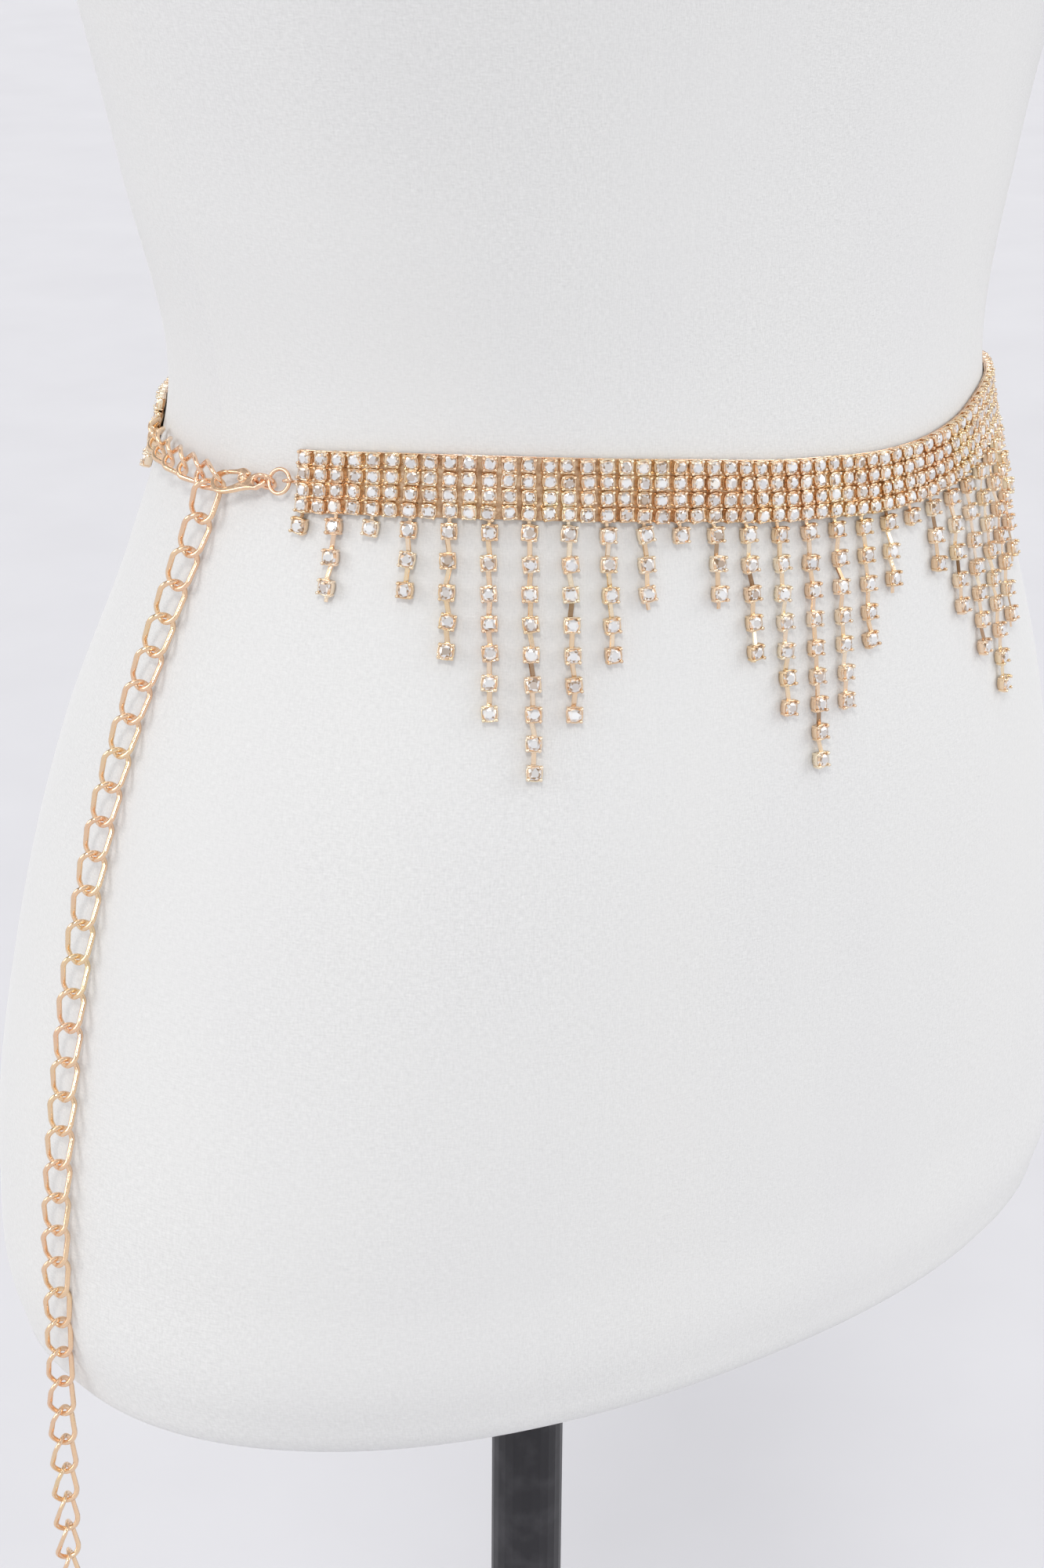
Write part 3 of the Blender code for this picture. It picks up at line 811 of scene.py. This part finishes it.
def ribbon(name, lines):
    """A smooth solid ribbon through closed rows of points, one row a station."""
    lines = np.array(lines)
    count, size = lines.shape[:2]
    faces = []
    for start in range(0, (count - 1) * size, size):
        faces.extend(ring_faces(start, start + size, size, flipped=True))
    faces.append(tuple(range(size)))
    faces.append(tuple(range((count - 1) * size, count * size))[::-1])
    return mesh_of(name, lines.reshape(-1, 3), faces, True)


def build_backing():
    """The strip behind the cups, as a thin plate in darkened gold that is painted shade in the
    gaps between the cups, with a wire along its upper edge.
    """
    band_length = BAND_COLUMNS * COLUMN_PITCH
    stations = np.linspace(PLATE_MARGIN, band_length - PLATE_MARGIN, 2 * BAND_COLUMNS + 1)
    corners = (
        (PLATE_MARGIN, PLATE_INSIDE),
        (PLATE_MARGIN, PLATE_OUTSIDE),
        (BAND_HEIGHT - PLATE_MARGIN, PLATE_OUTSIDE),
        (BAND_HEIGHT - PLATE_MARGIN, PLATE_INSIDE),
    )
    plate = [[belt_point(station, run, out) for run, out in corners] for station in stations]
    mesh = ribbon("band_backing", plate)
    for polygon in mesh.polygons:
        polygon.use_smooth = False
    add_piece("band_backing", mesh, gap_shade_gold, "gold_metal", "gem_band")
    wire = []
    for station in stations:
        origin, axes = belt_frame(station, WIRE_RADIUS, WIRE_OUT)
        wire.append([
            origin + axes[:, 1] * up + axes[:, 2] * out
            for up, out in circle(WIRE_RADIUS, WIRE_SIDES)])
    add_piece("band_wire", ribbon("band_wire", wire), rose_gold, "gold_metal", "gem_band")


def build_fringe(name, first, stone_counts):
    """The strands of one V of the hem: set stones joined by flat bars."""
    cups = Heap()
    stones = Heap()
    gap = STONE_PITCH - 2 * CUP_HALF
    bar = bar_template(gap + BAR_LAP, BAR_HALF_WIDTH, BAR_THICKNESS)
    stub = bar_template(STUB_LENGTH, STUB_HALF_WIDTH, STUB_THICKNESS)
    top = BAND_HEIGHT + SEAM + STRIP_HEIGHT + CUP_HALF
    for index, count in enumerate(stone_counts):
        middle = (2 * (first + index) + 0.5) * COLUMN_PITCH
        sway = chance.gauss(0, STRAND_SPREAD)
        for stone in range(count):
            run = top + stone * STONE_PITCH
            shift = sway * math.sin(stone * STRAND_WAVE + first)
            origin, axes = belt_frame(middle + shift, run, CUP_BACK)
            set_stone(cups, stones, origin, axes, FRINGE_WOBBLE, FRINGE_CUP)
            if stone > 0:
                origin, axes = belt_frame(middle + shift, run - STONE_PITCH / 2, BAR_OUT)
                axes = tilted(axes, BAR_WOBBLE)
                cups.add(bar, origin, axes, metal_tones(bar, dark=0.15, bright=0.45))
        origin, axes = belt_frame(middle, BAND_HEIGHT - STUB_LAP, STUB_OUT)
        cups.add(stub, origin, axes, metal_tones(stub, dark=0.1, bright=0.4))
        if count > 1 and chance.random() < TAIL_SHARE:
            run = top + (count - 1) * STONE_PITCH + CUP_HALF + TAIL_DROP
            origin, axes = belt_frame(middle, run, TAIL_OUT)
            axes = tilted(axes, FRINGE_WOBBLE)
            cups.add(stub, origin, axes, metal_tones(stub, dark=0.1, bright=0.4))
    add_piece(name + "_cups", cups.mesh(name + "_cups"), cup_gold, "gold_metal", name)
    add_piece(name + "_stones", stones.mesh(name + "_stones"), crystal, "set_stones", name)


def build_fringes():
    """The hem's seven points, with the strands that lead in and out of them."""
    first = 0
    for vee in range(VEE_COUNT):
        counts = VEE
        if vee == 0:
            counts = LEAD_IN + counts
        if vee == VEE_COUNT - 1:
            counts = counts + LEAD_OUT
        build_fringe(f"fringe_{vee + 1:02d}", first, counts)
        first += len(counts)


# Closure and chain

LINK_HALF = (LINK_PITCH + LINK_PLAY + LINK_WIRE) / 2
LINK_SECTION = (0.55 * LINK_WIRE, 0.45 * LINK_WIRE)
LINK_ARC_STEPS = 16
WIRE_FACETS = 12
RING_STEPS = 40
LOOP_FACETS = 10
LOOP_POINTS = 13
EYE_STEPS = 28
STROKE_STEPS = 6
CAP_POINTS = 7
BODY_ROUNDING = 0.45 * MM
LEVER_ROUNDING = 0.42 * MM
ROUNDING_STEPS = 3
SHARP_ANGLE = math.radians(50)
PIVOT_SIDES = 28
PIVOT_PLACE = (4.6 * MM, -0.8 * MM, 0.0)
# Rivet from the middle of its face outwards: radius and height, in mm
PIVOT_PROFILE = (
    (0.20, 1.22),
    (0.48, 1.18),
    (0.58, 1.00),
    (0.74, 0.96),
    (0.86, 1.10),
    (1.08, 1.08),
    (1.28, 0.90),
    (1.34, 0.70),
)
CLOSURE_RUN = BAND_HEIGHT / 2
CLOSURE_SAMPLES = 60
SWAY_TABLE = np.array(CHAIN_SWAY, dtype=float) * MM
SWAY_SLOPES = row_slopes(SWAY_TABLE)


def closure_line(ends):
    """Points along a stretch of the closure between two ends, and their distances along it."""
    line = []
    for t in np.linspace(0.0, 1.0, CLOSURE_SAMPLES):
        distance, run, out = (1 - t) * np.array(ends[0]) + t * np.array(ends[1])
        line.append(belt_point(distance, run, out))
    line = np.array(line)
    return line, lengths_along(line)


def placed(point, along, outward, roll):
    """A matrix with X along, Z outward, then rolled about X."""
    x = Vector(along).normalized()
    y = Vector(outward).cross(x).normalized()
    z = x.cross(y)
    turn = Matrix((x, y, z)).transposed().to_4x4()
    return Matrix.Translation(Vector(point)) @ turn @ Matrix.Rotation(roll, 4, "X")


def closure_place(stretch, reach, roll):
    """A matrix on a stretch of the closure: X away from its start, Z out of the form."""
    before, point, after = (point_along(*stretch, reach + step) for step in (-MM, 0.0, MM))
    outward = unit(np.array([point[0], point[1] + FORM_AHEAD, 0.0]))
    return placed(point, after - before, outward, roll)


def tube(route, closed, half_width, half_height, sides=WIRE_FACETS, facing=None):
    """A wire along a route, its section an ellipse that faces a direction at each point."""
    route = np.array(route)
    count = len(route)
    if closed:
        heading = np.roll(route, -1, axis=0) - np.roll(route, 1, axis=0)
    else:
        heading = np.gradient(route, axis=0)
    heading /= np.linalg.norm(heading, axis=1)[:, None]
    points = []
    for index in range(count):
        up = UP if facing is None else np.array(facing[index])
        up = unit(up - heading[index] * np.dot(up, heading[index]))
        side = np.cross(heading[index], up)
        for step in range(sides):
            angle = 2 * math.pi * step / sides
            points.append(route[index] + side * half_width * math.cos(angle)
                          + up * half_height * math.sin(angle))
    faces = []
    for index in range(count if closed else count - 1):
        faces.extend(ring_faces(index * sides, (index + 1) % count * sides, sides))
    if not closed:
        faces.append(tuple(range(sides))[::-1])
        faces.append(tuple(range((count - 1) * sides, count * sides)))
    return np.array(points), faces, [True] * len(faces)


def link_template():
    """A curb link of slightly flattened wire, twisted about its long axis."""
    radius = (LINK_WIDTH - LINK_WIRE) / 2
    straight = LINK_HALF - radius
    route = []
    facing = []
    for side in (1, -1):
        for step in range(LINK_ARC_STEPS + 1):
            angle = math.pi * (step / LINK_ARC_STEPS - 0.5)
            x = side * (straight + radius * math.cos(angle))
            y = side * radius * math.sin(angle)
            twist = LINK_TWIST * x / (2 * LINK_HALF)
            route.append((x, y * math.cos(twist), y * math.sin(twist)))
            facing.append((0.0, -math.sin(twist), math.cos(twist)))
    return tube(route, True, *LINK_SECTION, facing=facing)


def split_matrix(matrix):
    """A matrix as a place and axes."""
    return np.array(matrix.translation), np.array(matrix.to_3x3())


def plate_mesh(name, outlines, thickness, rounding, matrix):
    """A plate from closed outlines with rounded edges, made into a mesh at its place."""
    curve = bpy.data.curves.new(name, "CURVE")
    curve.dimensions = "2D"
    curve.fill_mode = "BOTH"
    curve.extrude = thickness / 2 - rounding
    curve.bevel_depth = rounding
    curve.bevel_resolution = ROUNDING_STEPS
    curve.offset = -rounding
    for outline in outlines:
        spline = curve.splines.new("POLY")
        spline.points.add(len(outline) - 1)
        for point, (x, y) in zip(spline.points, outline):
            point.co = (x, y, 0.0, 1.0)
        spline.use_cyclic_u = True
    maker = bpy.data.objects.new(name + "_maker", curve)
    scene.collection.objects.link(maker)
    depsgraph = bpy.context.evaluated_depsgraph_get()
    mesh = bpy.data.meshes.new_from_object(maker.evaluated_get(depsgraph))
    mesh.name = name
    bpy.data.objects.remove(maker)
    mesh.transform(matrix)
    for polygon in mesh.polygons:
        polygon.use_smooth = True
    mesh.set_sharp_from_angle(angle=SHARP_ANGLE)
    return mesh


def smooth_stroke(stroke):
    """The outline of a stroke, its rows joined by a smooth curve."""
    rows = np.array(stroke)
    keyed = np.hstack([np.arange(len(rows))[:, None], rows])
    slopes = row_slopes(keyed)
    keys = np.linspace(0, len(rows) - 1, STROKE_STEPS * (len(rows) - 1) + 1)
    fine = np.array([between_rows(keyed, slopes, key) for key in keys]) * MM
    middles = fine[:, :2]
    headings = np.gradient(middles, axis=0)
    headings /= np.linalg.norm(headings, axis=1)[:, None]
    sides = np.stack([-headings[:, 1], headings[:, 0]], axis=1)
    left = middles + sides * fine[:, 2:]
    right = middles - sides * fine[:, 2:]

    def end_cap(index, direction):
        cap = []
        for angle in np.linspace(90, -90, CAP_POINTS)[1:-1]:
            a = math.radians(angle)
            cap.append(middles[index] + fine[index, 2] * (
                math.cos(a) * direction * headings[index] + math.sin(a) * sides[index]))
        return cap

    outline = list(left) + end_cap(-1, 1) + list(right[::-1]) + end_cap(0, -1)[::-1]
    return [tuple(p) for p in outline]


def pivot_mesh(matrix):
    """The rivet that the lever turns on: a boss on each face with a ring cut round it."""
    points = []
    faces = []
    profile = list(PIVOT_PROFILE) + [(radius, -height) for radius, height in PIVOT_PROFILE[::-1]]
    for radius, height in profile:
        points.extend((x, y, height * MM) for x, y in circle(radius * MM, PIVOT_SIDES))
    last = (len(profile) - 1) * PIVOT_SIDES
    for start in range(0, last, PIVOT_SIDES):
        faces.extend(ring_faces(start, start + PIVOT_SIDES, PIVOT_SIDES, flipped=True))
    faces.append(tuple(range(PIVOT_SIDES)))
    faces.append(tuple(range(last, last + PIVOT_SIDES))[::-1])
    mesh = mesh_of("clasp_pivot", points, faces, True)
    mesh.transform(matrix)
    return mesh


def build_closure():
    """Loops, rings, clasp and waist links between the band's two ends."""
    start = (0.0, CLOSURE_RUN, CLOSURE_OUT)
    hook = (-HOOK_DISTANCE, CLOSURE_RUN + HOOK_DROP, HOOK_OUT)
    finish = (-BAND_GAP, CLOSURE_RUN, CLOSURE_OUT)
    near = closure_line((start, hook))
    hooked = (hook[0], hook[1], hook[2] + HOOKED_STEP)
    far = closure_line((hooked, finish))

    loop_line = [(0.0, LOOP_HALF, 0.0)]
    centre = LOOP_REACH - LOOP_HALF
    for angle in np.linspace(90, -90, LOOP_POINTS):
        a = math.radians(angle)
        loop_line.append((centre + LOOP_HALF * math.cos(a), LOOP_HALF * math.sin(a), 0.0))
    loop_line.append((0.0, -LOOP_HALF, 0.0))
    loop = tube(loop_line, False, LOOP_WIRE / 2, LOOP_WIRE / 2, LOOP_FACETS)

    def ring(radius):
        line = [(x, y, 0.0) for x, y in circle(radius, RING_STEPS)]
        return tube(line, True, RING_WIRE / 2, RING_WIRE / 2)

    def single(name, template, matrix, *nodes):
        heap = Heap()
        heap.add(template, *split_matrix(matrix))
        add_piece(name, heap.mesh(name), gold, "gold_metal", *nodes)

    place = closure_place(near, 0.0, RING_A_ROLL + math.pi / 2)
    single("front_loop", loop, place, "end_loop_front")
    place = closure_place(near, RING_A_ALONG, RING_A_ROLL)
    single("jump_ring_a", ring(RING_A_RADIUS), place, "ring_a")
    place = closure_place(near, RING_B_ALONG, RING_B_ROLL)
    single("jump_ring_b", ring(RING_B_RADIUS), place, "ring_b")

    clasp = closure_place(near, CLASP_EYE_ALONG, CLASP_ROLL)
    outlines = [smooth_stroke(CLASP_STROKE), circle(CLASP_EYE_RADIUS, EYE_STEPS)]
    body = plate_mesh("lobster_clasp", outlines, CLASP_THICKNESS, BODY_ROUNDING, clasp)
    add_piece("lobster_clasp", body, gold, "gold_metal", "clasp_body")
    outlines = [smooth_stroke(LEVER_STROKE)]
    lever = plate_mesh("lobster_lever", outlines, LEVER_THICKNESS, LEVER_ROUNDING, clasp)
    add_piece("lobster_lever", lever, gold, "gold_metal", "clasp_lever")
    pivot = pivot_mesh(clasp @ Matrix.Translation(PIVOT_PLACE))
    add_piece("clasp_pivot", pivot, gold, "gold_metal", "clasp_body")

    link = link_template()
    length = far[1][-1]
    last_wire = length - LOOP_REACH + (LOOP_WIRE + LINK_WIRE) / 2 + LINK_PLAY
    pitch = (last_wire - 2 * LINK_HALF) / (WAIST_LINKS - 1)
    waist = Heap()
    for index in range(WAIST_LINKS):
        roll = WAIST_TURN * index * (WAIST_LINKS - 1 - index)
        waist.add(link, *split_matrix(closure_place(far, LINK_HALF + index * pitch, roll)))
    names = [f"link_waist_{index + 1:02d}" for index in range(WAIST_LINKS)]
    add_piece("waist_chain", waist.mesh("waist_chain"), gold, "gold_metal", *names)
    place = closure_place(far, length, LINK_TWIST / 2 - math.pi / 2)
    single("back_loop", loop, place @ Matrix.Rotation(math.pi, 4, "Z"), "end_loop_back")
    build_hanging_chain(closure_place(far, LINK_HALF, 0.0), link)


def build_hanging_chain(first, link):
    """Links that hang from the lower side of the first waist link."""
    top = np.array(first.translation)
    top[2] -= HANG_DROP
    line = [top]
    while top[2] - line[-1][2] < HANGING_LINKS * LINK_PITCH:
        height = line[-1][2] - MM - WAIST_HEIGHT
        fallen = top[2] - WAIST_HEIGHT - height
        y = top[1] + float(between_rows(SWAY_TABLE, SWAY_SLOPES, fallen)[0])
        half_width, front, back = section(max(height, CHAIN_FREE_BELOW)) + CHAIN_OUT
        depth = (y + FORM_AHEAD - (back - front) / 2) / ((back + front) / 2)
        x = -half_width * (1 - abs(depth) ** FORM_SQUARENESS) ** (1 / FORM_SQUARENESS)
        line.append(np.array([min(x, top[0]), y, height + WAIST_HEIGHT]))
    line = np.array(line)
    lengths = lengths_along(line)
    free = np.interp(-(WAIST_HEIGHT + CHAIN_FREE_BELOW), -line[:, 2], lengths)
    chain = Heap()
    for index in range(HANGING_LINKS):
        reach = LINK_HALF + index * LINK_PITCH
        upper = point_along(line, lengths, reach - LINK_HALF)
        lower = point_along(line, lengths, reach + LINK_HALF)
        turn = FREE_TURN * max(0.0, reach - free) / LINK_PITCH
        matrix = placed(
            (upper + lower) / 2, lower - upper, (-1.0, 0.0, 0.0), CHAIN_ROLL + turn)
        chain.add(link, *split_matrix(matrix))
    names = [f"link_hang_{index + 1:02d}" for index in range(HANGING_LINKS)]
    add_piece("hanging_chain", chain.mesh("hanging_chain"), gold, "gold_metal", *names)


# Dress form

COVER_FACETS = 288
COVER_RING = 3.2 * MM
COVER_OUT = 0.1 * MM
BOARD_SHARES = (1.0, 0.985, 0.5)
BOARD_STEP = 0.3 * MM


def build_cover():
    """The stretched cover, open above and below, and the boards that close the form."""
    heights = [FORM_BOTTOM]
    for low, high in zip(SECTION_TABLE[:-1, 0], SECTION_TABLE[1:, 0]):
        parts = max(2, round((high - low) / COVER_RING))
        heights.extend(low + (high - low) * part / parts for part in range(1, parts + 1))
    angles = [2 * math.pi * facet / COVER_FACETS for facet in range(COVER_FACETS)]
    points = [skin(angle, height, COVER_OUT) for height in heights for angle in angles]
    top = len(points) - COVER_FACETS
    faces = []
    for start in range(0, top, COVER_FACETS):
        faces.extend(ring_faces(start, start + COVER_FACETS, COVER_FACETS))
    mesh = mesh_of("form_cover", points, faces, True)
    cover = add_piece("form_cover", mesh, jersey, "white_jersey", "dress_form")
    lids = []
    lid_faces = []
    for ring_start, outward in ((0, -1), (top, 1)):
        first = len(lids)
        ring = np.array(points[ring_start:ring_start + COVER_FACETS])
        middle = ring.mean(axis=0)
        for share in BOARD_SHARES:
            inset = middle + (ring - middle) * share
            inset[:, 2] += 0.0 if share == 1.0 else -outward * BOARD_STEP
            lids.extend(inset)
        for band in range(len(BOARD_SHARES) - 1):
            a, b = first + band * COVER_FACETS, first + (band + 1) * COVER_FACETS
            for face in ring_faces(a, b, COVER_FACETS, flipped=True):
                lid_faces.append(face if outward > 0 else face[::-1])
        inner = tuple(range(b, b + COVER_FACETS))
        lid_faces.append(inner if outward > 0 else inner[::-1])
    boards = mesh_of("form_boards", lids, lid_faces)
    add_piece("form_boards", boards, board, "white_jersey", "dress_form")


# Stage, lights and camera

FLOOR_RADIUS = 16.0
FLOOR_SIDES = 96
# Lights: name, azimuth, elevation and apparent size in degrees, power, colour
SUNS = (
    ("left_soft", -108.0, 28.0, 35.0, 0.79, (1.0, 0.99, 0.975)),
    ("front_soft", -42.0, 41.0, 10.0, 0.80, (1.0, 1.0, 0.985)),
    ("right_soft", 48.0, 30.0, 40.0, 0.90, (1.0, 1.0, 0.99)),
    ("top_soft", -30.0, 80.0, 50.0, 0.50, (1.0, 1.0, 1.0)),
    ("back_soft", 150.0, 40.0, 35.0, 0.45, (1.0, 1.0, 1.0)),
)
SENSOR_HEIGHT = 36.0
CAMERA_LENS = 76.034
CAMERA_PLACE = (-0.52776, -0.69751, 1.28229)
CAMERA_TURN = (67.7289, -0.43657, -36.71633)


def build_stage():
    """A wide pale floor."""
    shape = bmesh.new()
    bmesh.ops.create_circle(shape, cap_ends=True, segments=FLOOR_SIDES, radius=FLOOR_RADIUS)
    mesh = bpy.data.meshes.new("floor")
    shape.to_mesh(mesh)
    shape.free()
    material, tree, shader = new_material("pale_paper")
    fibre = noise(tree, object_place(tree), 6.0, 4.0)
    colour = ramp(tree, fibre, (0.3, (0.678, 0.675, 0.707)), (0.7, (0.702, 0.700, 0.732)))
    tree.links.new(colour, shader.inputs["Base Color"])
    shader.inputs["Roughness"].default_value = 0.95
    shader.inputs["Specular IOR Level"].default_value = 0.1
    mesh.materials.append(material)
    floor = bpy.data.objects.new("floor", mesh)
    scene.collection.objects.link(floor)


def add_sun(name, azimuth, elevation, angle, power, colour):
    """A broad soft light from a compass direction, 0 from -Y and 90 from +X."""
    light = bpy.data.lights.new(name, "SUN")
    light.energy = power
    light.angle = math.radians(angle)
    light.color = colour
    lamp = bpy.data.objects.new(name, light)
    scene.collection.objects.link(lamp)
    turn, rise = math.radians(azimuth), math.radians(elevation)
    level = math.cos(rise)
    source = Vector((math.sin(turn) * level, -math.cos(turn) * level, math.sin(rise)))
    lamp.rotation_euler = (-source).to_track_quat("-Z", "Y").to_euler()


def build_lights():
    """A pale world that is brightest at the horizon, and broad soft lights on every side."""
    world = bpy.data.worlds.new("studio")
    world.use_nodes = True
    tree = world.node_tree
    background = tree.nodes["Background"]
    split = add_node(tree, "ShaderNodeSeparateXYZ")
    direction = add_node(tree, "ShaderNodeTexCoord").outputs["Generated"]
    tree.links.new(direction, split.inputs["Vector"])
    dome = ramp(
        tree, split.outputs["Z"],
        (0.0, (0.86, 0.86, 0.87)),
        (0.28, (0.78, 0.78, 0.79)),
        (0.60, (0.38, 0.38, 0.385)))
    tree.links.new(dome, background.inputs["Color"])
    background.inputs["Strength"].default_value = 1.0
    scene.world = world
    for sun in SUNS:
        add_sun(*sun)


def build_camera():
    """The camera of the photo, fitted to it."""
    data = bpy.data.cameras.new("camera")
    data.sensor_fit = "VERTICAL"
    data.sensor_height = SENSOR_HEIGHT
    data.lens = CAMERA_LENS
    data.clip_start = 0.01
    camera = bpy.data.objects.new("camera", data)
    scene.collection.objects.link(camera)
    camera.location = CAMERA_PLACE
    camera.rotation_euler = [math.radians(angle) for angle in CAMERA_TURN]
    scene.camera = camera


gold = gold_material(
    "pale_gold_plate", (0.92, 0.62, 0.43), (0.93, 0.67, 0.45), (0.92, 0.71, 0.44))
cup_gold = gold_material(
    "gold_plate_painted_glints", (0.97, 0.79, 0.63), (0.98, 0.84, 0.66), (0.97, 0.87, 0.63), toned=True)
rose_gold = gold_material(
    "rose_gold_wire", (0.93, 0.68, 0.54), (0.94, 0.70, 0.54), (0.93, 0.74, 0.54))
# Dark browns of the strip are painted shade for the gaps between the cups; the lightest stop is
# the gold itself.
gap_shade_gold = gold_material(
    "gold_strip_painted_gap_shade", (0.35, 0.19, 0.10), (0.60, 0.39, 0.23), (0.88, 0.67, 0.47),
    patch_scale=620.0)
crystal = stone_material()
jersey = jersey_material()
board = board_material()
black = black_material()

build_cover()
build_band()
build_fringes()
build_closure()
for node in ("pole", "base_plate"):
    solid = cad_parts[node]
    solid.data.materials.clear()
    solid.data.materials.append(black)
build_stage()
build_lights()
build_camera()
